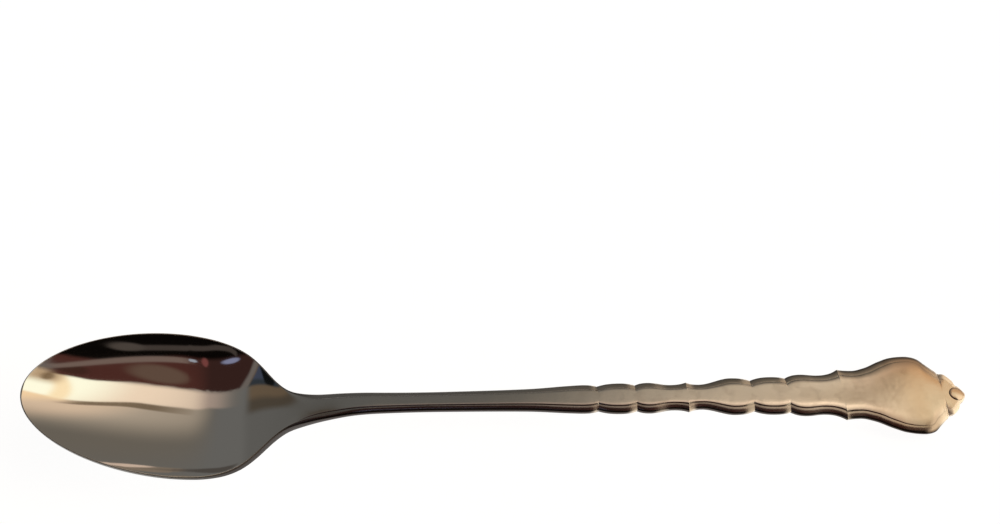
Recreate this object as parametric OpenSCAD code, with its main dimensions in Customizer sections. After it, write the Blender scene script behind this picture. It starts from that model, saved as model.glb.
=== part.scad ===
// Iced tea spoon: a long-handled spoon struck from one blank of steel.
// It lies face up as on a table, with its length along X and the bowl at the low end of X.
// The origin is on the table, under the middle of its length. Every part of it is a skin
// over ribs, and each rib runs from the centre line out to the edge and back underneath.

/* [Bowl] */
// Length of the bowl, from its toe to the seam with the neck
bowl_l = 50; // [42:1:60]
// Width over the rim at the widest place
bowl_w = 30.8; // [24:0.2:36]
// Distance from the toe to the widest place
bowl_widest = 28; // [24:0.5:32]
// Depth of the hollow below the rim
bowl_depth = 5.4; // [4:0.1:7]
// Thickness of the metal at the rim
rim_t = 1.1; // [0.8:0.05:2]
// Width of the rounded lip along the rim
lip_w = 0.5; // [0.3:0.1:2]
// How much thicker the floor of the bowl is than its rim
floor_belly = 0.15; // [0:0.05:0.8]
// How far the rim falls from the toe to the neck seam
rim_fall = 17.2; // [8:0.1:24]

/* [Neck and stem] */
// Length of the neck, from the bowl to the narrowest place
neck_l = 26; // [18:1:40]
// Width of the stem at the narrowest place
stem_w = 4.1; // [2.8:0.1:6]
// Thickness at the edges where the neck leaves the bowl
neck_t = 2.6; // [1.4:0.1:4]
// Thickness at the edges of the stem
stem_t = 1.7; // [1:0.1:3]
// How much thicker the neck and stem are in the middle than at their edges
stem_belly = 0.9; // [0.1:0.05:2]
// Length of the stem, from the narrowest place to the first notch
stem_l = 36; // [20:1:60]
// Height of the top of the neck above the table
crest_h = 7; // [5:0.1:16]

/* [Handle] */
// Length of the scalloped part of the handle
pattern_l = 52; // [36:1:80]
// Width of the scalloped part over its last pair of points
pattern_w = 11.5; // [8:0.1:14]
// Thickness at the edge where the scallops begin
pattern_t = 1.8; // [1.2:0.05:2.8]
// Length of the broad end of the handle
end_l = 26; // [18:1:40]
// Width of the broad end
end_w = 17.6; // [12:0.1:24]
// Thickness at the edge of the broad end
end_t = 1.6; // [1:0.05:2.4]
// How much thicker the broad end is in the middle than at its edge
end_belly = 0.3; // [0:0.05:1]

/* [Raised border] */
// Width of the raised border along each edge
border_w = 1.4; // [0.8:0.05:2]
// Depth of the crease inside the border, below the panel
crease_d = 0.12; // [0.08:0.02:0.4]
// Step from the panel down to the top of the border
border_step = 0.06; // [0:0.02:0.2]
// Fall of the border from the panel to the side of the handle
border_drop = 0.5; // [0.15:0.05:0.7]

/* [Drop at the tip] */
// Length of the raised drop
drop_l = 3.3; // [2:0.1:4]
// Width of the raised drop
drop_w = 2.9; // [1.4:0.1:3.2]
// Height of the raised drop above the panel
drop_h = 0.3; // [0.15:0.05:1]
// Distance from the drop to the very tip
drop_inset = 0.25; // [0.2:0.05:1]

/* [Hidden] */
steel = [0.74, 0.68, 0.6];
polished = [0.83, 0.8, 0.75];

// Stations of the seams, measured from the toe
neck_at = bowl_l;
stem_at = neck_at + neck_l;
pattern_at = stem_at + stem_l;
end_at = pattern_at + pattern_l;
tip_at = end_at + end_l;
// The spoon is carried on two worn flats, one under the bowl and one under the tip, which are
// this deep where they are deepest
flat_d = 0.1;
tip_flat_d = 0.35;
// Room round the box that cuts the flats
cut_room = 2;
// Half of the step over which a slope is measured
slope_step = 0.15;
// Half of the window over which the outline of the heel and neck is eased
ease = 1.2;
// The last section is this wide, so that the tip is blunt
tip_w = 1;

// Plan of the toe: the share by which its flanks are drawn in from an ellipse
toe_pinch_share = 0.075;
// Shape of the hollow across: the share of its square term, the rest being a fourth power
round_share = 0.95;
// Share of the fall that is curved, along the rim and along the handle
rim_bow_share = 0.25;
handle_bow_share = 0.4;
// The rim line has turned into the handle line this share of the neck past the seam
turn_share = 0.7;
// The hollow runs out this share of the neck past the seam
hollow_end_share = 0.15;
// How soon the floor rises from its deepest place towards the neck, so that it bends there as
// it does towards the toe
fall_share = 0.685;
// Place of the highest line of the border, from its crease
border_top_share = 0.2;
// Share of the edge's thickness that its lower corner is rounded by
corner_share = 0.28;
// Share of the half width that the border takes where the stem is narrow, and the most it may
// ever take
narrow_border_share = 0.48;
border_most_share = 0.9;
// Bulge of the panel between the borders, as a share of its half width
panel_share = 0.035;
// Share of that bulge that falls away close to the border
panel_edge_share = 0.5;
// How steeply the outline leaves a notch, as a share of its mean slope
notch_share = 1.6;
// Powers of the fall of the border outwards, of the crease beside the panel, and of the bow
// of the rim and of the handle
fall_power = 2.6;
crease_power = 12;
rim_power = 2;
handle_power = 10;
// The border begins at this share of the bowl and is whole at this share of the neck
border_start_share = 0.9;
border_full_share = 0.3;

// Outlines as [share of the length, share of the half width, 1 at a sharp notch]
heel_shares = [[0, 1, 0], [0.18, 0.984, 0], [0.37, 0.925, 0], [0.545, 0.802, 0], [0.68, 0.625, 0],
    [0.82, 0.402, 0], [0.955, 0.262, 0]];
neck_shares = [[0.09, 1.56, 0], [0.2, 1.37, 0], [0.32, 1.27, 0], [0.48, 1.15, 0], [0.7, 1.05, 0]];
stem_shares = [[0, 1, 0], [0.28, 1.04, 0], [0.6, 1.15, 0], [0.85, 1.43, 0], [0.92, 1.48, 0]];
pattern_shares = [[0, 0.455, 1], [0.087, 0.57, 0], [0.152, 0.475, 1], [0.205, 0.572, 0],
    [0.294, 0.47, 0], [0.358, 0.556, 1], [0.41, 0.463, 0], [0.542, 0.7, 0], [0.619, 0.579, 1],
    [0.704, 0.72, 0], [0.763, 0.65, 1], [0.831, 0.8, 0], [0.896, 0.755, 0], [0.985, 0.977, 1]];
end_shares = [[0.09, 0.608, 0], [0.2, 0.68, 0], [0.33, 0.845, 0], [0.44, 0.957, 0], [0.53, 0.994, 0],
    [0.58, 1, 0], [0.63, 0.982, 0], [0.675, 0.935, 0], [0.73, 0.795, 0], [0.785, 0.65, 0],
    [0.815, 0.555, 1], [0.86, 0.515, 0], [0.905, 0.41, 0], [0.935, 0.25, 1], [0.96, 0.205, 0],
    [0.985, 0.13, 0]];

// Shares of the way out from the centre line at which each rib has a point
bowl_panel_shares = [0, 0.1, 0.2, 0.3, 0.4, 0.5, 0.6, 0.7, 0.8, 0.88, 0.95, 1];
bowl_border_shares = [0.3, 0.6, 0.85, 1];
bowl_back_shares = [0, 0.1, 0.2, 0.3, 0.4, 0.5, 0.6, 0.7, 0.78, 0.86, 0.94, 1];
bowl_corners = [25, 50, 70, 90];
panel_shares = [0, 0.5, 0.85, 1];
border_shares = [0.2, 0.4, 0.65, 0.88, 1];
back_shares = [0, 0.4, 0.7, 0.9, 1];
corners = [25, 50, 70, 90];
// Counts of ribs
toe_ribs = 16;
heel_ribs = 18;
neck_ribs = 14;
stem_ribs = 10;
notch_ribs = 4;
end_ribs = 3;
drop_ribs = 16;
// The drop: points across it, the step at its foot as a share of its height, and the angle
// round it at which its two ends are blunt
drop_shares = [0, 0.4, 0.7, 0.9, 1];
drop_step_share = 0.2;
drop_blunt = 10;

function smooth(t) = let (u = min(max(t, 0), 1)) u * u * u * (u * (6 * u - 15) + 10);
function blend(a, b, t) = a + (b - a) * t;
function soft_min(a, b) = 1 / pow(pow(1 / a, 4) + pow(1 / b, 4), 1 / 4);
function placed(shares, at, long, half) = [for (s = shares) [at + s[0] * long, s[1] * half, s[2]]];

// A smooth curve through knots, which keeps every rise and fall between them and may break
// its slope at a sharp one
function rise(knots, i) = (knots[i + 1][1] - knots[i][1]) / (knots[i + 1][0] - knots[i][0]);
function slope(knots, i, side) =
    i == 0 ? 0
    : i == len(knots) - 1 ? rise(knots, i - 1)
    : let (before = rise(knots, i - 1), after = rise(knots, i))
    knots[i][2] == 1 ? notch_share * (side < 0 ? before : after)
    : before * after <= 0 ? 0
    : 2 * before * after / (before + after);
function segment(knots, x, low, high) =
    high - low <= 1 ? low
    : let (middle = floor((low + high) / 2))
    knots[middle][0] <= x ? segment(knots, x, middle, high) : segment(knots, x, low, middle);
function curve(knots, x) =
    let (
        last = len(knots) - 1,
        i = segment(knots, x, 0, last),
        long = knots[i + 1][0] - knots[i][0],
        t = min(max((x - knots[i][0]) / long, 0), 1)
    )
    (1 + 2 * t) * (1 - t) * (1 - t) * knots[i][1]
        + t * (1 - t) * (1 - t) * long * slope(knots, i, 1)
        + t * t * (3 - 2 * t) * knots[i + 1][1]
        - t * t * (1 - t) * long * slope(knots, i + 1, -1);

// Half of the width at a station past the widest place of the bowl
edge_knots = concat(
    placed(heel_shares, bowl_widest, bowl_l - bowl_widest, bowl_w / 2),
    placed(neck_shares, neck_at, neck_l, stem_w / 2),
    placed(stem_shares, stem_at, stem_l, stem_w / 2),
    placed(pattern_shares, pattern_at, pattern_l, pattern_w / 2),
    placed(end_shares, end_at, end_l, end_w / 2),
    [[tip_at, tip_w / 2, 0]]
);
function half_width(x) =
    x > stem_at ? curve(edge_knots, x)
    : (curve(edge_knots, x - ease) + 2 * curve(edge_knots, x) + curve(edge_knots, x + ease)) / 4;
function edge_slope(x) = (half_width(x + slope_step) - half_width(x - slope_step)) / (2 * slope_step);

// Thickness at the edge, and how much thicker the middle is
thick_knots = [[0, rim_t, 0], [bowl_widest, rim_t, 0], [neck_at, neck_t, 0],
    [neck_at + neck_l / 2, stem_t, 0], [stem_at, stem_t, 0], [pattern_at, pattern_t, 0],
    [end_at, end_t, 0], [tip_at, end_t, 0]];
function edge_t(x) = curve(thick_knots, x);
belly_knots = [[0, floor_belly, 0], [bowl_widest, floor_belly, 0], [neck_at + neck_l / 2, stem_belly, 0],
    [stem_at, stem_belly, 0], [end_at, end_belly, 0], [tip_at, end_belly, 0]];
function belly(x) = curve(belly_knots, x);

// Depth of the hollow at the centre line
hollow_end = neck_at + hollow_end_share * neck_l;
function hollow(x) =
    let (u = max((x - bowl_widest) / (hollow_end - bowl_widest), 0), rest = max(1 - u, 0))
    bowl_depth * (1 - smooth(u) - fall_share * u * u * rest * rest * rest);
function swell(v) = round_share * v * v + (1 - round_share) * v * v * v * v;
function back(x) = hollow(x) + belly(x);

// Height of the rim and of the top of the handle: two bowed lines that turn into each other
function bowed(u, bow, power) = 1 - (1 - bow) * u - bow * pow(u, power);
function handle_line(x) =
    let (low = end_t + end_belly - tip_flat_d)
    low + (crest_h - low) * bowed((x - stem_at) / (tip_at - stem_at), handle_bow_share, handle_power);
function rim_line(x) = rim_fall * bowed(x / bowl_l, rim_bow_share, rim_power);
function turn(x) = smooth((x - bowl_widest) / (neck_at + turn_share * neck_l - bowl_widest));
// The lift that brings the lowest place of the bowl's back down to the table
lift = max([for (i = [0:heel_ribs])
    let (x = blend(bowl_widest, bowl_l, i / heel_ribs))
    (edge_t(x) + back(x) - flat_d - turn(x) * handle_line(x)) / (1 - turn(x)) - rim_line(x)]);
function top_line(x) = blend(rim_line(x) + lift, handle_line(x), turn(x));

// The border: none on the bowl, where a rounded lip takes its place, and none by the drop
border_on = border_start_share * bowl_l;
border_full = neck_at + border_full_share * neck_l;
drop_at = tip_at - drop_inset - drop_l;
function border_amount(x) =
    smooth((x - border_on) / (border_full - border_on)) * (1 - smooth(2 * (x - drop_at) / drop_l + 1));
function border_room(x) =
    let (slim = soft_min(border_w, narrow_border_share * half_width(x)))
    blend(lip_w, slim, smooth((x - border_on) / (border_full - border_on)));
function lip(s) = -rim_t * corner_share * (1 - sqrt(1 - s * s));
function bead(s) =
    s < border_top_share
    ? -border_step - (crease_d - border_step) * pow(1 - s / border_top_share, 2)
    : -border_step - (border_drop - border_step)
        * pow((s - border_top_share) / (1 - border_top_share), fall_power);
// Fall of the panel from the centre line to the border
function crown(x) = panel_share * half_width(x);
function border_relief(x, s) = blend(lip(s), bead(s) - crown(x), border_amount(x));
function panel_relief(x, v) =
    -border_amount(x) * (crown(x) * blend(v * v, pow(v, 6), panel_edge_share)
        + crease_d * pow(v, crease_power));

// A rib is [station of its centre, station of its end, half width at its end, room for the border]
function cross_rib(x) =
    let (w = half_width(x))
    [x, x, w, min(border_room(x) * sqrt(1 + pow(edge_slope(x), 2)), border_most_share * w)];
function toe_rib(turned) =
    let (reach = bowl_widest * cos(turned) * (1 - toe_pinch_share * sin(turned) * sin(turned)))
    [bowl_widest, bowl_widest - reach, bowl_w / 2 * sin(turned), lip_w];

// Points of one side of a rib, from the top of the centre line round the edge to the underside
function rib_points(rib, panels, borders, backs, rounds) =
    let (
        centre = [rib[0], 0],
        way = [rib[1], rib[2]] - centre,
        reach = norm(way),
        inner = 1 - rib[3] / reach,
        thick = edge_t(rib[1]),
        corner = min(corner_share * thick, reach / 2) / reach,
        under = function (q, up)
            let (p = centre + q * way)
            [p.x, p.y, top_line(p.x) - thick - back(rib[0]) * (1 - swell(q)) + up]
    )
    concat(
        [for (v = panels)
            let (p = centre + v * inner * way)
            [p.x, p.y, top_line(p.x) - hollow(rib[0]) * (1 - swell(v)) + panel_relief(p.x, v)]],
        [for (s = borders)
            let (p = centre + blend(inner, 1, s) * way)
            [p.x, p.y, top_line(p.x) + border_relief(p.x, s)]],
        [for (i = [len(rounds) - 1:-1:0])
            under(1 - corner * (1 - sin(rounds[i])), corner * reach * (1 - cos(rounds[i])))],
        [for (i = [len(backs) - 1:-1:0]) under(backs[i] * (1 - corner), 0)]
    );

function mirrored(p) = [p.x, -p.y, p.z];

// A closed skin over ribs. The first ribs, as many as fans, stand round one pole like a fan,
// and the very first of those lies in the middle plane.
module skin(sides, fans) {
    count = len(sides[0]);
    last = len(sides) - 1;
    half = count / 2;
    points = [for (side = sides) each concat(side, [for (p = side) mirrored(p)])];
    place = function (k, j, flip)
        let (
            axis = j == 0 || j == count - 1,
            rib = axis ? max(k, fans) : k,
            shared = axis || (fans > 0 && k == 0)
        )
        rib * 2 * count + (flip && !shared ? count : 0) + j;
    walls = [for (k = [0:last - 1], j = [0:count - 2], flip = [false, true])
        let (
            a = place(k, j, flip), b = place(k + 1, j, flip),
            c = place(k + 1, j + 1, flip), d = place(k, j + 1, flip)
        )
        each flip ? [[a, c, d], [a, b, c]] : [[a, c, b], [a, d, c]]];
    ends = [for (k = fans > 0 ? [last] : [0, last], j = [0:half - 2], flip = [false, true])
        let (
            a = place(k, j, flip), b = place(k, j + 1, flip),
            c = place(k, count - 2 - j, flip), d = place(k, count - 1 - j, flip)
        )
        each (k == 0) != flip ? [[a, c, b], [a, d, c]] : [[a, b, c], [a, c, d]]];
    faces = [for (f = concat(walls, ends)) if (f[0] != f[1] && f[1] != f[2] && f[2] != f[0]) f];
    translate([-tip_at / 2, 0, 0]) polyhedron(points, faces);
}

// A stretch of the handle, over the given stations
module stretch(stations) {
    skin([for (x = stations)
        rib_points(cross_rib(x), panel_shares, border_shares, back_shares, corners)], 0);
}
function even(from, to, count) = [for (i = [0:count]) blend(from, to, i / count)];
// Stations that divide each stretch between knots alike, from one seam to the next
function between(from, to, count) =
    let (stops = concat([from], [for (k = edge_knots) if (k[0] > from && k[0] < to) k[0]], [to]))
    concat([for (i = [0:len(stops) - 2], j = [0:count - 1])
        blend(stops[i], stops[i + 1], j / count)], [to]);

// Everything below the table is cut away, which leaves a worn flat where the spoon rests
module on_table() {
    difference() {
        children();
        translate([-tip_at / 2 - cut_room, -bowl_w / 2, -tip_flat_d - cut_room])
            cube([tip_at + 2 * cut_room, bowl_w, tip_flat_d + cut_room]);
    }
}

module bowl() {
    ribs = concat(
        [for (turned = even(0, 90, toe_ribs)) toe_rib(turned)],
        [for (i = [1:heel_ribs]) cross_rib(blend(bowl_widest, bowl_l, i / heel_ribs))]
    );
    color(polished) on_table()
        skin([for (rib = ribs) rib_points(rib, bowl_panel_shares, bowl_border_shares,
            bowl_back_shares, bowl_corners)], toe_ribs);
}
module neck() {
    color(steel) stretch(even(neck_at, stem_at, neck_ribs));
}
module stem() {
    color(steel) stretch(even(stem_at, pattern_at, stem_ribs));
}
module scalloped_handle() {
    color(steel) stretch(between(pattern_at, end_at, notch_ribs));
}
module handle_end() {
    color(steel) on_table() stretch(between(end_at, tip_at, end_ribs));
}

// A raised drop on the panel, oval in plan and blunt at both ends
function drop_side(turned) =
    let (
        x = drop_at + drop_l * (1 - cos(turned)) / 2,
        wide = sin(turned)
    )
    concat(
        [for (v = drop_shares)
            [x, v * wide * drop_w / 2, top_line(x)
                + drop_h * blend(drop_step_share, 1, sqrt(wide) * sqrt(1 - v * v))]],
        [for (i = [len(drop_shares) - 1:-1:0]) [x, drop_shares[i] * wide * drop_w / 2, top_line(x)]]
    );
module tip_drop() {
    color(polished)
        skin([for (turned = even(drop_blunt, 180 - drop_blunt, drop_ribs)) drop_side(turned)], 0);
}

bowl();
neck();
stem();
scalloped_handle();
handle_end();
tip_drop();
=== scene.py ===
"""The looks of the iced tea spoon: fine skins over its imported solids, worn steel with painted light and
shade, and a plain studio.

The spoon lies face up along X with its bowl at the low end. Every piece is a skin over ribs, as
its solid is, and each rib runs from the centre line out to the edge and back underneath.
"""
import math
import bpy
from mathutils import Matrix, Vector


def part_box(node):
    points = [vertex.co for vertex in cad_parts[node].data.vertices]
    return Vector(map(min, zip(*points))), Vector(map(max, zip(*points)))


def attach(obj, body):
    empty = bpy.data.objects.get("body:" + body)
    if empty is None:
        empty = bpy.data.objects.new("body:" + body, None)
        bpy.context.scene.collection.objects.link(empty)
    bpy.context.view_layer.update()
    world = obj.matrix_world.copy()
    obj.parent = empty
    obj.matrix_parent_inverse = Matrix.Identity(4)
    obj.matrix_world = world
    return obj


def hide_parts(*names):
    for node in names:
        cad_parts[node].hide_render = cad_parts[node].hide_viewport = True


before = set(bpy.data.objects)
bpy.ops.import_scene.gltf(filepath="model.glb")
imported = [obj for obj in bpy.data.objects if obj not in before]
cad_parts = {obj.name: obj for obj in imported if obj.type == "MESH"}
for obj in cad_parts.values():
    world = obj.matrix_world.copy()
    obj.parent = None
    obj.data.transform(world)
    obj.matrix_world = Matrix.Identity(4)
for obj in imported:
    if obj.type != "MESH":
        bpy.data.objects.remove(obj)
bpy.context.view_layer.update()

# Stations along the spoon, measured from the toe, and widths, all from the solids
bowl_low, bowl_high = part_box("bowl")
end_low, end_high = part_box("handle_end")
drop_low, drop_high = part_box("tip_drop")
toe_x = bowl_low.x
neck_at = bowl_high.x - toe_x
stem_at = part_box("stem")[0].x - toe_x
pattern_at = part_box("scalloped_handle")[0].x - toe_x
end_at = end_low.x - toe_x
tip_at = end_high.x - toe_x
end_l = tip_at - end_at
end_middle = end_at + end_l / 2
drop_at = drop_low.x - toe_x
drop_l = drop_high.x - drop_low.x
bowl_half = bowl_high.y
end_half = end_high.y
drop_half = drop_high.y

# Sizes of the metal, in metres, as in the solids
bowl_widest = 0.028
bowl_depth = 0.0054
rim_t = 0.0011
floor_belly = 0.00015
rim_fall = 0.0172
stem_half = 0.00205
neck_t = 0.0026
stem_t = 0.0017
stem_belly = 0.0009
crest_h = 0.007
pattern_half = 0.00575
pattern_t = 0.0018
end_t = 0.0016
end_belly = 0.0003
tip_half = 0.0005
flat_d = 0.0001
tip_flat_d = 0.00035
border_w = 0.0014
crease_d = 0.00012
border_step = 0.00006
border_drop = 0.0005
drop_h = 0.0003
ease = 0.0012

# Sizes that these skins alone have, in metres: the narrow lip of the bowl, the slopes of the crease,
# the rounding of the border's corner and the depth of the drop's foot in the panel
lip_w = 0.00028
crease_w = 0.00028
edge_round = 0.00012
drop_root = 0.0002
# How far from a notch the crease runs deep
notch_reach = 0.0019
# How far from the crease the panel has points of its own, and how wide the crease's dark line is
crease_reach = 0.0006
crease_mark = 0.00014
# The stretch over which the shoulders take on the painted highlight
shoulder_ease = 0.004
# Half the stretch over which the slope of the outline is measured
slope_step = 0.00005

# Shares and powers that shape the bowl, the bow of the spoon, its lower corners and its notches
round_share = 0.95
toe_pinch_share = 0.075
fall_share = 0.685
hollow_end_share = 0.15
rim_bow_share = 0.25
rim_power = 2
handle_bow_share = 0.4
handle_power = 10
turn_share = 0.7
corner_share = 0.28
notch_share = 2.5

# Shares and powers that shape the border and the panel inside it
border_start_share = 0.9
border_full_share = 0.3
border_stop_share = 0.8
border_top_share = 0.06
border_most_share = 0.9
narrow_border_share = 0.48
narrow_power = 4
steepest = 1.7
fall_power = 2.6
lean_share = 0.45
round_from_share = 0.88
crease_least_share = 0.2
panel_share = 0.038
panel_edge_share = 0.6
panel_power = 6
drop_power = 0.8

# Outlines as (share of the length, share of the half width), and the shares that are sharp notches
HEEL_SHARES = ((0, 1), (0.18, 0.984), (0.37, 0.925), (0.545, 0.802), (0.68, 0.625), (0.82, 0.402),
               (0.955, 0.262))
NECK_SHARES = ((0.09, 1.56), (0.2, 1.37), (0.32, 1.27), (0.48, 1.15), (0.7, 1.05))
STEM_SHARES = ((0, 1), (0.28, 1.04), (0.6, 1.15), (0.85, 1.43), (0.92, 1.48))
PATTERN_SHARES = ((0, 0.455), (0.087, 0.57), (0.152, 0.475), (0.205, 0.572), (0.294, 0.47),
                  (0.358, 0.556), (0.41, 0.463), (0.542, 0.7), (0.619, 0.579), (0.704, 0.72),
                  (0.763, 0.65), (0.831, 0.8), (0.896, 0.755), (0.985, 0.977))
PATTERN_NOTCHES = (0, 0.152, 0.358, 0.619, 0.763, 0.985)
END_SHARES = ((0.09, 0.608), (0.2, 0.68), (0.33, 0.845), (0.44, 0.957), (0.53, 0.994), (0.58, 1),
              (0.63, 0.982), (0.675, 0.935), (0.73, 0.795), (0.785, 0.65), (0.815, 0.555),
              (0.86, 0.515), (0.905, 0.41), (0.935, 0.25), (0.96, 0.205), (0.985, 0.13))
END_NOTCHES = (0.815, 0.935)

# Colours of the metal
POLISHED = (0.62, 0.60, 0.56, 1)
SATIN = (0.48, 0.46, 0.42, 1)
# The next colour is a near-white cream laid over the handle towards its end: painted light, for the brighter
# light that the handle catches
PAINTED_END_LIGHT = (0.98, 0.91, 0.79, 1)
WARM = (0.44, 0.338, 0.252, 1)
SMUDGE = (0.30, 0.22, 0.15, 1)
# The next colour darkens the line in the crease, partly tarnish and partly painted shade, and the sides with
# painted shade
TARNISH_AND_SHADE = (0.035, 0.024, 0.020, 1)
# The next colour is a painted highlight where the edge faces the end of the handle
PAINTED_HIGHLIGHT = (0.92, 0.80, 0.66, 1)
# Where one finish, or the painted light on the end of the handle, turns into the next, in metres from the toe
SATIN_SPAN = (0.040, 0.062)
PAINTED_END_LIGHT_SPAN = (0.088, 0.128)
WARM_SPAN = (0.158, 0.181)
# The next span is where the side's painted shade grows from the rim's strength to the handle's
HEEL_SPAN = (0.018, 0.040)
# The marks that the skins hand to the metal: the dark line in the crease, partly tarnish and partly
# painted shade, the side's painted shade and the places given a painted highlight
MARKS = ("crease", "side", "highlight")
NO_MARKS = (0, 0, 0)
# How strongly the line, the smudges and the side's painted shade show, the side on the rim and elsewhere
LINE_DARK = 0.3
SMUDGE_DARK = 0.16
RIM_DARK = 0.45
SIDE_DARK = 0.95
# The side's share beside the border, plain and along the notches, and the line's round the shoulders
EDGE_TINT = 0.35
NOTCHED_TINT = 0.65
SHOULDER_LINE = 0.8
# Where the side darkens with painted shade, as shares of the panel, the lip, the border and the underside
PANEL_TINT = (2 / 3, 1)
LIP_TINT = (0, 0.25)
BORDER_TINT = (0.5, 1)
UNDER_TINT = (0.75, 1)
# The metal takes a painted highlight where the outline closes in by these slopes, and from this share of the
# end on
HIGHLIGHT_SLOPES = (0.06, 0.30)
SHOULDER_SHARE = 0.66
# Roughness of each finish, and what the clouds and scratches add to satin in roughness and height
POLISH_ROUGH = 0.05
RIM_ROUGH = 0.5
HIGHLIGHT_ROUGH = 0.38
SATIN_ROUGH = 0.12
CLOUD_ROUGH = 0.10
SCRATCH_ROUGH = 0.06
SCRATCH_HEIGHT = 0.08
BUMP_D = 0.00004
# Noise as scale, detail and roughness, and how far the scratches are drawn out along the spoon
CLOUDS = (200.0, 3.0, 0.5)
SMUDGES = (330.0, 2.0, 0.5)
SMUDGE_EDGE = (0.5, 0.66)
SCRATCHES = (3.0, 4.0, 0.7)
SCRATCH_STRETCH = (60.0, 900.0, 900.0)


def smooth(t):
    u = min(max(t, 0), 1)
    return u * u * u * (u * (6 * u - 15) + 10)


def ramp(x, low, high):
    """0 below low, 1 above high, and smooth between them."""
    return smooth((x - low) / (high - low))


def blend(a, b, t):
    return a + (b - a) * t


def even(start, stop, count):
    """The ends of count equal steps from start to stop."""
    return [blend(start, stop, i / count) for i in range(count + 1)]


# How many ribs each stretch has, and how close they stand where notches break the outline
TOE_RIBS = 90
PLAIN_RIBS = 60
DROP_RIBS = 48
RIB_STEP = 0.0003
NOTCH_STEPS = 6
# Points of a rib: shares of the panel, gaps to the crease, shares of the border, degrees round the
# lower corner and shares of the underside
PANEL = even(0, 1, 26)[:-1]
CREASE_GAPS = (1, 0.75, 0.55, 0.4, 0.27, 0.16, 0.07, 0)
BORDER = [q ** 1.3 for q in even(0, 1, 16)[1:-3]] + [0.9, 0.94, 0.97, 0.99, 1]
ROUNDS = even(90, 10, 8)
BACK = even(1, 0, 24)[1:]
# Points of a rib of the drop, and the angle at which its first rib stands
DROP_POINTS = 14
DROP_START = 0.02


def placed(shares, start=0, length=1, half=1, sharp_at=()):
    """Knots of a curve, each as (its station, its height, whether it is sharp)."""
    return [(start + s * length, w * half, s in sharp_at) for s, w in shares]


def rise(knots, i):
    return (knots[i + 1][1] - knots[i][1]) / (knots[i + 1][0] - knots[i][0])


def slope(knots, i, side):
    """Slope of the curve at a knot, on the side that is asked for."""
    if i == 0:
        return 0
    if i == len(knots) - 1:
        return rise(knots, i - 1)
    before, after = rise(knots, i - 1), rise(knots, i)
    if knots[i][2]:
        return notch_share * (before if side < 0 else after)
    if before * after <= 0:
        return 0
    return 2 * before * after / (before + after)


def curve(knots, x):
    """A smooth curve through knots that keeps every rise and fall, and breaks at sharp ones."""
    i = max(k for k in range(len(knots) - 1) if k == 0 or knots[k][0] <= x)
    length = knots[i + 1][0] - knots[i][0]
    t = min(max((x - knots[i][0]) / length, 0), 1)
    return ((1 + 2 * t) * (1 - t) ** 2 * knots[i][1] + t * (1 - t) ** 2 * length * slope(knots, i, 1)
            + t * t * (3 - 2 * t) * knots[i + 1][1] - t * t * (1 - t) * length * slope(knots, i + 1, -1))


edge_knots = (placed(HEEL_SHARES, bowl_widest, neck_at - bowl_widest, bowl_half)
              + placed(NECK_SHARES, neck_at, stem_at - neck_at, stem_half)
              + placed(STEM_SHARES, stem_at, pattern_at - stem_at, stem_half)
              + placed(PATTERN_SHARES, pattern_at, end_at - pattern_at, pattern_half, PATTERN_NOTCHES)
              + placed(END_SHARES, end_at, end_l, end_half, END_NOTCHES)
              + [(tip_at, tip_half, False)])
neck_middle = (neck_at + stem_at) / 2
thick_knots = placed(((0, rim_t), (bowl_widest, rim_t), (neck_at, neck_t), (neck_middle, stem_t),
                      (stem_at, stem_t), (pattern_at, pattern_t), (end_at, end_t), (tip_at, end_t)))
belly_knots = placed(((0, floor_belly), (bowl_widest, floor_belly), (neck_middle, stem_belly),
                      (stem_at, stem_belly), (end_at, end_belly), (tip_at, end_belly)))


def half_width(x):
    if x > stem_at:
        return curve(edge_knots, x)
    return (curve(edge_knots, x - ease) + 2 * curve(edge_knots, x) + curve(edge_knots, x + ease)) / 4


def edge_slope(x):
    return (half_width(x + slope_step) - half_width(x - slope_step)) / (2 * slope_step)


def edge_t(x):
    return curve(thick_knots, x)


hollow_end = neck_at + hollow_end_share * (stem_at - neck_at)


def hollow(x):
    """Depth of the hollow at the centre line."""
    u = min(max((x - bowl_widest) / (hollow_end - bowl_widest), 0), 1)
    return bowl_depth * (1 - smooth(u) - fall_share * u * u * (1 - u) ** 3)


def swell(v):
    return round_share * v * v + (1 - round_share) * v ** 4


def back(x):
    return hollow(x) + curve(belly_knots, x)


def bowed(u, bow, power):
    return 1 - (1 - bow) * u - bow * u ** power


def rim_line(x):
    return rim_fall * bowed(x / neck_at, rim_bow_share, rim_power)


def handle_line(x):
    low = end_t + end_belly - tip_flat_d
    u = max((x - stem_at) / (tip_at - stem_at), -1)
    return low + (crest_h - low) * bowed(u, handle_bow_share, handle_power)


def turn(x):
    """How far the line of the rim has turned into the line of the handle."""
    return ramp(x, bowl_widest, neck_at + turn_share * (stem_at - neck_at))


# The lift that sets the bowl down on its worn flat
lift = max((edge_t(x) + back(x) - flat_d - turn(x) * handle_line(x)) / (1 - turn(x)) - rim_line(x)
           for x in even(bowl_widest, neck_at, PLAIN_RIBS))


def top_line(x):
    return blend(rim_line(x) + lift, handle_line(x), turn(x))


# The border: none on the bowl, where a rounded lip takes its place, and none by the drop
border_on = border_start_share * neck_at
border_full = neck_at + border_full_share * (stem_at - neck_at)
notches = [x for x, _, sharp in edge_knots if sharp and x < end_at]


def border_begun(x):
    return ramp(x, border_on, border_full)


def border_amount(x):
    return border_begun(x) * (1 - ramp(x, drop_at - drop_l / 2, drop_at))


def border_room(x):
    """Width of the border, narrower on slim metal, or of the lip."""
    slim = border_w ** -narrow_power + (narrow_border_share * half_width(x)) ** -narrow_power
    return blend(lip_w, slim ** (-1 / narrow_power), border_begun(x))


def lip(s):
    return -rim_t * corner_share * (1 - math.sqrt(1 - s * s))


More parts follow.
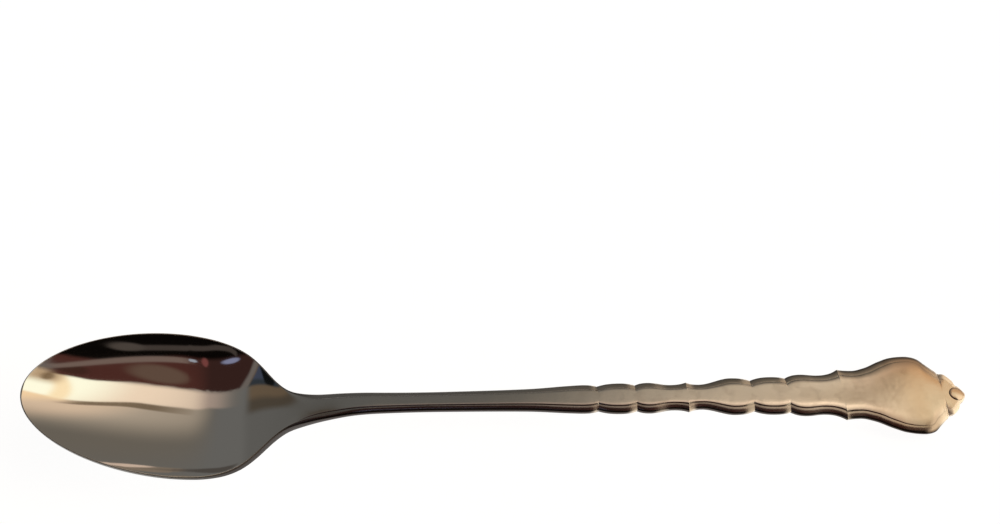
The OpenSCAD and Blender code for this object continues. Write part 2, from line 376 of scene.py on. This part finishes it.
def border_stop(x):
    return 1 - ramp(x, end_at, end_at + border_stop_share * end_l)


def crease_amount(x):
    """How deep the crease runs: in full beside a notch, less between notches and not at all by the tip."""
    beside = max(math.exp(-((x - n) / notch_reach) ** 2) for n in notches)
    return blend(crease_least_share, 1, beside) * border_stop(x)


def line_amount(x):
    """How dark the line in the crease is, partly tarnish and partly painted shade. It runs on round the
    shoulders, where the crease is shallow.
    """
    return max(crease_amount(x), SHOULDER_LINE * ramp(x, end_at, end_middle))


def step_down(x):
    return border_step * border_stop(x)


def crease_fall(x):
    return step_down(x) + (crease_d - border_step) * crease_amount(x)


def bead(x, s):
    """Height of the border over the panel's edge, from the crease out to the side."""
    low = step_down(x)
    if s < border_top_share:
        return -low - (crease_fall(x) - low) * (1 - s / border_top_share) ** 2
    out = (s - border_top_share) / (1 - border_top_share)
    fall = blend(out ** fall_power, out, lean_share)
    corner = max(s - round_from_share, 0) / (1 - round_from_share)
    return -low - (border_drop - low) * fall - edge_round * (1 - math.sqrt(1 - corner ** 2))


def crown(x):
    """Fall of the panel from the centre line to the border."""
    return panel_share * half_width(x)


def panel_relief(x, v, gap):
    """Fall of the panel below the top line, at a share of its half width and a gap to the crease."""
    bulge = blend(v * v, v ** panel_power, panel_edge_share)
    return -border_amount(x) * (crown(x) * bulge + crease_fall(x) * max(1 - gap / crease_w, 0) ** 2)


def facing_end(x):
    """How far the edge turns to face the end of the handle."""
    if x < stem_at:
        return 0
    if x > end_middle:
        shoulder = end_at + SHOULDER_SHARE * end_l
        return ramp(x, shoulder, shoulder + shoulder_ease)
    return ramp(-edge_slope(x), *HIGHLIGHT_SLOPES)


def edge_tint(x):
    """How dark the painted shade beside the border is: most along the notches, less in the stem and round the
    end.
    """
    return blend(EDGE_TINT, NOTCHED_TINT, ramp(x, *PAINTED_END_LIGHT_SPAN) - ramp(x, end_at, end_middle))


def cross_rib(x):
    half = half_width(x)
    room = min(border_room(x) * min(math.hypot(1, edge_slope(x)), steepest), border_most_share * half)
    return Vector((x, 0)), Vector((x, half)), room


def toe_rib(angle):
    c, s = math.cos(angle), math.sin(angle)
    reach = bowl_widest * c * (1 - toe_pinch_share * s * s)
    return Vector((bowl_widest, 0)), Vector((bowl_widest - reach, bowl_half * s)), lip_w


def rib_points(rib):
    """Points of one side of a rib, from the top of the centre line round the edge to the underside.

    Each point is its place and its marks: how dark the line in the crease is there, how far it lies
    over the edge, which gives it painted shade, and how far it takes a painted highlight.
    """
    centre, end, room = rib
    way = end - centre
    inner = 1 - room / way.length
    thick = edge_t(end.x)
    corner = min(corner_share * thick, way.length / 2) / way.length
    crease_room = min(crease_reach, inner * way.length / 2)
    panel_end = 1 - crease_room / (inner * way.length)
    tint = edge_tint(centre.x)
    points = []

    def put(share, height, line, side):
        p = centre + share * way
        z = min(max(top_line(p.x) + height(p.x), 0), bowl_high.z)
        marks = (line * border_amount(p.x) * line_amount(p.x), side, side * facing_end(p.x))
        points.append((Vector((toe_x + p.x, p.y, z)), marks))

    def under(share, up):
        put(share, lambda x: up - thick - back(centre.x) * (1 - swell(share)), 0, ramp(share, *UNDER_TINT))

    # The side mark lays painted shade on the panel beside the border, the border, the lip and the underside
    for v in [panel_end * q for q in PANEL] + [blend(1, panel_end, q) for q in CREASE_GAPS]:
        gap = (1 - v) * inner * way.length
        put(v * inner, lambda x: panel_relief(x, v, gap) - hollow(centre.x) * (1 - swell(v)),
            math.exp(-(gap / crease_mark) ** 2), tint * ramp(v, *PANEL_TINT) * border_amount(centre.x))
    for s in BORDER:
        on_border = blend(tint, 1, ramp(s, *BORDER_TINT))
        side_shade = blend(ramp(s, *LIP_TINT), on_border, border_amount(centre.x))
        put(blend(inner, 1, s), lambda x: blend(lip(s), bead(x, s) - crown(x), border_amount(x)),
            math.exp(-(s * room / crease_mark) ** 2), side_shade)
    for turned in ROUNDS:
        a = math.radians(turned)
        under(1 - corner * (1 - math.sin(a)), corner * way.length * (1 - math.cos(a)))
    for q in BACK:
        under(q * (1 - corner), 0)
    return points


def skin(name, sides, fans):
    """A closed skin over ribs and the rows of its two ends.

    The ribs up to number fans stand round one pole. The ends have points of their own, so that
    they don't bend the shading of the walls.
    """
    last, count = len(sides) - 1, len(sides[0])
    points, index = [], {}

    def vertex(k, j, flip):
        on_axis = j in (0, count - 1)
        flip = flip and not on_axis and not (fans and k == 0)
        key = (max(k, fans) if on_axis else k, j, flip)
        if key not in index:
            p, marks = sides[k][j]
            index[key] = len(points)
            points.append((Vector((p.x, -p.y if flip else p.y, p.z)), marks))
        return index[key]

    faces = []
    for flip in (False, True):
        for k in range(last):
            for j in range(count - 1):
                loop = [vertex(k, j, flip), vertex(k + 1, j, flip),
                        vertex(k + 1, j + 1, flip), vertex(k, j + 1, flip)]
                loop = [v for i, v in enumerate(loop) if v != loop[i - 1]]
                faces.append(loop if flip else loop[::-1])
    rows = [[vertex(k, j, flip) for flip in (False, True) for j in range(count)] for k in (0, last)]
    for k in ([last] if fans else [0, last]):
        ring = [vertex(k, j, False) for j in range(count)]
        ring += [vertex(k, j, True) for j in range(count - 2, 0, -1)]
        faces.append([len(points) + i for i in range(len(ring))][::1 if k == last else -1])
        points.extend([points[i] for i in ring])
    mesh = bpy.data.meshes.new(name)
    mesh.from_pydata([p for p, _ in points], [], faces)
    for place, label in enumerate(MARKS):
        mark = mesh.attributes.new(label, "FLOAT", "POINT")
        mark.data.foreach_set("value", [marks[place] for _, marks in points])
    for face in mesh.polygons:
        face.use_smooth = len(face.vertices) <= 4
    piece = bpy.data.objects.new(name, mesh)
    bpy.context.scene.collection.objects.link(piece)
    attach(piece, "root")
    return piece, rows


def stations(start, stop):
    """Even stations, with a close set on either side of every sharp notch."""
    count = math.ceil((stop - start) / RIB_STEP)
    sharp = [x for x, _, is_sharp in edge_knots if is_sharp and start <= x <= stop]
    plain = [s for s in even(start, stop, count)[1:-1] if all(abs(s - x) > RIB_STEP for x in sharp)]
    close = [x + RIB_STEP * i / NOTCH_STEPS for x in sharp for i in range(-NOTCH_STEPS, NOTCH_STEPS + 1)]
    return sorted([start, stop] + plain + [s for s in close if start < s < stop])


def match_seams(chain):
    """Gives the rows on either side of each seam the same normals, because the metal runs on."""
    normals = {piece: [Vector() for _ in piece.data.vertices] for piece, _ in chain}
    for (a, rows_a), (b, rows_b) in zip(chain, chain[1:]):
        for i, j in zip(rows_a[1], rows_b[0]):
            shared = a.data.vertices[i].normal + b.data.vertices[j].normal
            normals[a][i] = normals[b][j] = shared.normalized()
    for piece, wanted in normals.items():
        piece.data.normals_split_custom_set_from_vertices(wanted)


# The skins, from the toe to the tip
toe_ribs = [toe_rib(a) for a in even(0, math.pi / 2, TOE_RIBS)]
crossings = {
    "bowl": even(bowl_widest, neck_at, PLAIN_RIBS)[1:],
    "neck": even(neck_at, stem_at, PLAIN_RIBS),
    "stem": even(stem_at, pattern_at, PLAIN_RIBS),
    "scalloped_handle": stations(pattern_at, end_at),
    "handle_end": stations(end_at, tip_at),
}
chain = []
for node, places in crossings.items():
    fan_ribs = toe_ribs if node == "bowl" else []
    ribs = fan_ribs + [cross_rib(x) for x in places]
    piece, rows = skin("fine_" + node, [rib_points(rib) for rib in ribs], TOE_RIBS if fan_ribs else 0)
    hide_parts(node)
    chain.append((piece, rows))
match_seams(chain)


def drop_side(turned):
    """One side of the raised drop, oval in plan, at an angle round it."""
    x = drop_at + drop_l * (1 - math.cos(turned)) / 2
    wide = math.sin(turned) * drop_half
    points = []
    for q in even(0, 1, DROP_POINTS):
        height = drop_h * math.sqrt(math.sin(turned)) * math.cos(math.pi / 2 * q) ** drop_power
        place = Vector((toe_x + x, wide * math.sin(math.pi / 2 * q), top_line(x) + height))
        points.append((place, NO_MARKS))
    points.append((Vector((toe_x + x, 0, top_line(x) - drop_root)), NO_MARKS))
    return points


drop_angles = even(DROP_START, math.pi - DROP_START, DROP_RIBS)
drop, _ = skin("fine_drop", [drop_side(a) for a in drop_angles], 0)
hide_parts("tip_drop")


class Wire:
    """A number on a shader socket, so that masks are written as sums."""

    def __init__(self, finish, socket):
        self.finish, self.socket = finish, socket

    def math(self, operation, *terms):
        return self.finish.add("ShaderNodeMath", {"operation": operation}, dict(enumerate(terms)))

    def __add__(self, other):
        return self.math("ADD", self, other)

    def __sub__(self, other):
        return self.math("SUBTRACT", self, other)

    def __rsub__(self, other):
        return self.math("SUBTRACT", other, self)

    def __mul__(self, other):
        return self.math("MULTIPLY", self, other)

    def __truediv__(self, other):
        return self.math("DIVIDE", self, other)

    __radd__ = __add__
    __rmul__ = __mul__

    def step(self, low, high):
        """0 below low, 1 above high, and smooth between them."""
        return self.finish.add("ShaderNodeMapRange", {"interpolation_type": "SMOOTHSTEP"},
                               {"Value": self, "From Min": low, "From Max": high})

    def between(self, low, full, fading, gone):
        """1 from full to fading, 0 below low and above gone, and smooth between them."""
        return self.step(low, full) * (1 - self.step(fading, gone))


class Finish:
    """A node tree and the one way to add to it."""

    def __init__(self, tree):
        self.tree = tree
        tree.nodes.clear()

    def add(self, kind, settings, inputs, output=0):
        """Adds a node with its settings and inputs, and gives the wire from one of its outputs."""
        node = self.tree.nodes.new(kind)
        for name, value in settings.items():
            setattr(node, name, value)
        for name, value in inputs.items():
            if isinstance(value, Wire):
                self.tree.links.new(value.socket, node.inputs[name])
            else:
                node.inputs[name].default_value = value
        return Wire(self, node.outputs[output]) if len(node.outputs) else None

    def mix(self, amount, first, second):
        """A colour between two colours. Sockets 6 and 7 and output 2 are the node's colour ones."""
        return self.add("ShaderNodeMix", {"data_type": "RGBA"}, {0: amount, 6: first, 7: second}, 2)

    def noise(self, place, scale, detail, rough):
        return self.add("ShaderNodeTexNoise", {},
                        {"Vector": place, "Scale": scale, "Detail": detail, "Roughness": rough})


def new_material(name):
    material = bpy.data.materials.new(name)
    material.use_nodes = True
    return material, Finish(material.node_tree)


def steel(name):
    """Worn steel, mirror-polished in the bowl and satin along the handle, with painted light, shade and
    highlights.
    """
    material, finish = new_material(name)
    place = finish.add("ShaderNodeTexCoord", {}, {}, "Object")
    x = finish.add("ShaderNodeSeparateXYZ", {}, {"Vector": place}, "X")
    line, side, highlight = [finish.add("ShaderNodeAttribute", {"attribute_name": mark}, {}, "Fac")
                          for mark in MARKS]

    def past(span):
        return x.step(toe_x + span[0], toe_x + span[1])

    satin, end_light = past(SATIN_SPAN), past(PAINTED_END_LIGHT_SPAN)
    clouds = finish.noise(place, *CLOUDS)
    streaks = finish.add("ShaderNodeMapping", {}, {"Vector": place, "Scale": SCRATCH_STRETCH})
    scratches = finish.noise(streaks, *SCRATCHES)
    smudges = finish.noise(place, *SMUDGES).step(*SMUDGE_EDGE)
    metal = finish.mix(satin, POLISHED, SATIN)
    # Painted light: the handle turns near-white towards its end
    metal = finish.mix(end_light, metal, PAINTED_END_LIGHT)
    metal = finish.mix(past(WARM_SPAN), metal, WARM)
    metal = finish.mix(smudges * end_light * SMUDGE_DARK, metal, SMUDGE)
    # The line in the crease: partly tarnish, partly painted shade
    metal = finish.mix(line * LINE_DARK, metal, TARNISH_AND_SHADE)
    # Painted shade on the sides, the lip and the panel beside the border
    metal = finish.mix(side * (RIM_DARK + past(HEEL_SPAN) * (SIDE_DARK - RIM_DARK)), metal, TARNISH_AND_SHADE)
    # Painted highlight where the edge faces the end of the handle
    metal = finish.mix(highlight, metal, PAINTED_HIGHLIGHT)
    rough = (POLISH_ROUGH + side * (1 - satin) * RIM_ROUGH + highlight * HIGHLIGHT_ROUGH
             + satin * (SATIN_ROUGH + (clouds - 0.5) * CLOUD_ROUGH + (scratches - 0.5) * SCRATCH_ROUGH))
    height = scratches * satin * SCRATCH_HEIGHT + clouds * satin
    bump = finish.add("ShaderNodeBump", {}, {"Strength": 1.0, "Distance": BUMP_D, "Height": height})
    surface = finish.add("ShaderNodeBsdfPrincipled", {},
                         {"Base Color": metal, "Metallic": 1.0, "Roughness": rough, "Normal": bump})
    finish.add("ShaderNodeOutputMaterial", {}, {"Surface": surface})
    return material


spoon_steel = steel("spoon_steel")
for piece in [piece for piece, _ in chain] + [drop]:
    piece.data.materials.append(spoon_steel)

# The floor: a white sheet. To the camera and in mirrors most of it glows, and the rest is paper
# that keeps the shadow.
FLOOR_HALF = 0.6
FLOOR_Z = -0.00002
PAPER = (0.9, 0.9, 0.9, 1)
GLOW = 1.32
GLOW_SHARE = 0.7
WHITE = (1, 1, 1, 1)
floor_mesh = bpy.data.meshes.new("floor")
floor_corners = [(x * FLOOR_HALF, y * FLOOR_HALF, FLOOR_Z) for x, y in ((-1, -1), (1, -1), (1, 1), (-1, 1))]
floor_mesh.from_pydata(floor_corners, [], [(0, 1, 2, 3)])
floor = bpy.data.objects.new("floor", floor_mesh)
bpy.context.scene.collection.objects.link(floor)
floor_material, floor_finish = new_material("paper")
paper = floor_finish.add("ShaderNodeBsdfDiffuse", {}, {"Color": PAPER})
glow = floor_finish.add("ShaderNodeEmission", {}, {"Color": WHITE, "Strength": GLOW})
seen, mirrored, through = [floor_finish.add("ShaderNodeLightPath", {}, {}, ray)
                           for ray in ("Is Camera Ray", "Is Glossy Ray", "Is Transmission Ray")]
sheet = floor_finish.add("ShaderNodeMixShader", {},
                         {0: (seen + mirrored + through) * GLOW_SHARE, 1: paper, 2: glow})
floor_finish.add("ShaderNodeOutputMaterial", {}, {"Surface": sheet})
floor_mesh.materials.append(floor_material)

# The camera, fitted to the photograph's frame of 1000 by 524 pixels. The spoon lies turned and
# shifted from the spot that the camera looks at.
PHOTO_WIDTH_PX = 1000
FOCAL_PX = 1025.1
SENSOR = 36.0
CLIP_START = 0.01
camera_pitch = math.radians(58.22)
camera_roll = math.radians(1.679)
camera_distance = 0.2334
spoon_shift = (0.00390, -0.03657, 0)
spoon_turn = math.radians(3.73)

spoon_place = Matrix.Translation(spoon_shift) @ Matrix.Rotation(spoon_turn, 4, "Z")
forward = Vector((0, math.cos(camera_pitch), -math.sin(camera_pitch)))
level = Vector((1, 0, 0))
upward = level.cross(forward)
across = math.cos(camera_roll) * level + math.sin(camera_roll) * upward
above = math.cos(camera_roll) * upward - math.sin(camera_roll) * level
aimed = Matrix((across, above, -forward)).transposed().to_4x4()
camera = bpy.data.objects.new("camera", bpy.data.cameras.new("camera"))
camera.data.sensor_width = SENSOR
camera.data.lens = SENSOR * FOCAL_PX / PHOTO_WIDTH_PX
camera.data.clip_start = CLIP_START
camera.matrix_world = spoon_place.inverted() @ Matrix.Translation(-camera_distance * forward) @ aimed
bpy.context.scene.collection.objects.link(camera)
bpy.context.scene.camera = camera

# The studio. A direction in it is given by two angles in degrees: "over" rises from the far
# horizon and runs over the top towards the camera, and "along" leans towards the end of the handle.
# Both are stretched a little, to the width that they have in the bowl.
OVER_SCALE, OVER_SHIFT = 1.027, -1.84
ALONG_SCALE = 1.01
world = bpy.data.worlds.new("studio")
bpy.context.scene.world = world
world.use_nodes = True
studio = Finish(world.node_tree)
aim = studio.add("ShaderNodeTexCoord", {}, {}, "Generated")
endward, far, high = [studio.add("ShaderNodeSeparateXYZ", {}, {"Vector": aim}, axis) for axis in "XYZ"]
over = high.math("ARCTAN2", high, far) * math.degrees(OVER_SCALE) + OVER_SHIFT
along = endward.math("ARCSINE", endward) * math.degrees(ALONG_SCALE)

# How soft the edges of a patch and of a streak are, and over how many degrees a streak starts and stops
PATCH_EDGE = (0.35, 1.3)
STREAK_EDGE = (0.2, 1.4)
STREAK_START, STREAK_STOP = 4, 3
# How far a patch, the sill and the haze cover what lies below them
PATCH_SHARE = 0.85
SILL_SHARE = 0.9
HAZE_SHARE = 0.7
# The ragged edge of the ceiling: its noise, and how far it strays
RAGS = (14.0, 4.0, 0.6)
RAG_DEGREES = 6


def light(colour):
    """Light that polished steel shows as this screen colour, of 0 to 255. A wire stays as it is."""
    if isinstance(colour, Wire):
        return colour
    return tuple(((c / 255 + 0.055) / 1.055) ** 2.4 / p for c, p in zip(colour, POLISHED)) + (1,)


def layered(base, *layers):
    """A colour with others laid over it in turn, each given as its mask and its colour."""
    shown = light(base)
    for mask, colour in layers:
        shown = studio.mix(mask, shown, light(colour))
    return shown


def patch(along_at, over_at, along_half, over_half, lean=0.0):
    """Mask of a soft oval. Its middle line climbs by lean degrees for each degree along."""
    u = (along - along_at) / along_half
    v = (over - over_at - (along - along_at) * lean) / over_half
    return 1 - (u * u + v * v).step(*PATCH_EDGE)


def stripe(offset, half, edge=PATCH_EDGE):
    """Mask of a soft line where the offset is small."""
    v = offset / half
    return 1 - (v * v).step(*edge)


def streak(along_at, over_at, fall, half, left, right):
    """Mask of a thin streak that falls away on both sides of its highest place."""
    side = along - along_at
    line = stripe(over - over_at + side * side * fall, half, STREAK_EDGE)
    return line * along.between(left, left + STREAK_START, right - STREAK_STOP, right)


# The low wall: grey, with a brown end by the neck, and warm and bright towards the end of the handle.
# Low on it are the three parts of the crescent that the near wall of the bowl shows.
warm = layered((174, 158, 138), (along.step(24, 31), (208, 182, 154)))
warm_part = (over + (along - 22) * 0.9).step(20, 60) * along.step(2, 33)
flare = layered((240, 206, 162),
                (over.step(57, 68), (255, 250, 222)),
                (along.step(38.8, 41) * (1 - over.step(66, 74)), (226, 194, 152)))
flare_part = (along + (over - 50) * 0.15).step(32.6, 38.5) * over.step(34, 48)
brown = layered((71, 63, 53), (over.step(74, 84), (95, 80, 63)))
brown_part = over.step(60, 70) * (1 - along.step(-33, -25))
wall = layered((90, 88, 84),
               (along.step(-32, -22), (97, 95, 91)),
               (along.step(-6, 20), (101, 94, 84)),
               (warm_part, warm),
               (flare_part, flare),
               (brown_part, brown),
               (patch(5.8, 2.6, 3.2, 3.4, -0.3), (120, 106, 91)),
               (patch(7.9, 3.7, 1.4, 2.0, -0.5), (196, 172, 152)),
               (patch(-8, 7.8, 14, 3, -0.32) * PATCH_SHARE, (66, 60, 54)))

# The bank of windows over it. A dark sill runs below it, and by the toe it has a gap, a tan corner
# and a brown patch.
bank = layered((101, 97, 91),
               (along.step(-20, 16), (160, 141, 127)),
               (along.step(10, 29), (234, 209, 181)),
               (along.step(28, 35.5), (255, 251, 222)))
low_edge = 75.5 - along.step(8, 22) * 4 - along.step(27, 34) * 12
bank_part = (over - low_edge).step(-2, 2) * along.step(-26, -16)
sill = stripe(over - low_edge + 3.7, 3.8) * along.between(18, 26, 31.5, 34)
toe_gap = (along - (over - 62) * 0.13).between(33.5, 34.5, 35.5, 36.6) * over.step(54, 62)
tan_corner = along.between(36.8, 38.6, 41, 43) * over.step(71, 83)
windows = layered(wall,
                  (bank_part, bank),
                  (sill * SILL_SHARE, (104, 86, 65)),
                  (toe_gap * PATCH_SHARE, (249, 218, 168)),
                  (tan_corner, (184, 156, 122)),
                  (patch(39.3, 84, 0.8, 5.5) * PATCH_SHARE, (100, 76, 50)))

# Left of the ceiling: a blue pane, a dark one and a pewter frame
blue_pane = layered((45, 50, 54), (over.step(96, 100), (57, 62, 76)))
panes = layered((14, 15, 15), (along.step(-44, -42.4), blue_pane))
left_line = along + (over - 93.7) * 0.72
panes_part = over.step(90, 94) * (1 - left_line.step(-31, -27))
frame_part = over.step(88, 95) * left_line.step(-29, -26)

# The dark ceiling: red-brown with a light haze and a dark one, black further up, with grey streaks
# and three small glints
ragged = (studio.noise(aim, *RAGS) - 0.5) * RAG_DEGREES
high_edge = 92.3 - along.step(29, 37) * 4.5 + ragged
ceiling_part = (over - high_edge).step(-1.2, 1.2) * left_line.step(-23, -17.5) * (1 - along.step(38.3, 40.5))
black_edge = 121 - along.step(20, 34) * 12
ceiling = layered((50, 31, 27),
                  (along.step(10, 24), (72, 40, 34)),
                  (patch(26.2, 103, 4.6, 9), (92, 72, 60)),
                  (patch(37, 97, 2.2, 6) * HAZE_SHARE, (52, 32, 24)),
                  ((over - black_edge).step(-2, 2.5), (8, 5, 3)),
                  (streak(9, 130.3, 0.02, 2, -13, 31), (62, 54, 49)),
                  (patch(28.5, 123.5, 2.6, 3.2, -0.7), (72, 64, 58)),
                  (streak(20, 118.3, 0.06, 2.5, 18, 42), (110, 92, 83)),
                  (patch(18.9, 119, 1.1, 1.3), (150, 154, 162)),
                  (patch(14.6, 118.6, 1.7, 4), (112, 62, 58)),
                  (patch(-6, 118.4, 9.5, 2.3), (120, 122, 146)),
                  (over.step(136, 142), (44, 34, 29)))

# The whole of it, with golden light from beyond the end of the handle. The camera sees white past
# the floor, and the metal sees the studio.
gold_part = along.step(41, 45) * over.between(52, 74, 160, 176)
sky = layered(windows,
              (panes_part, panes),
              (frame_part, (100, 92, 86)),
              (ceiling_part, ceiling),
              (gold_part, (294, 279, 248)))
to_camera = studio.add("ShaderNodeLightPath", {}, {}, "Is Camera Ray")
sky = studio.mix(to_camera, sky, WHITE)
back_light = studio.add("ShaderNodeBackground", {}, {"Color": sky, "Strength": 1.0})
studio.add("ShaderNodeOutputWorld", {}, {"Surface": back_light})

bpy.context.scene.view_settings.view_transform = "Standard"
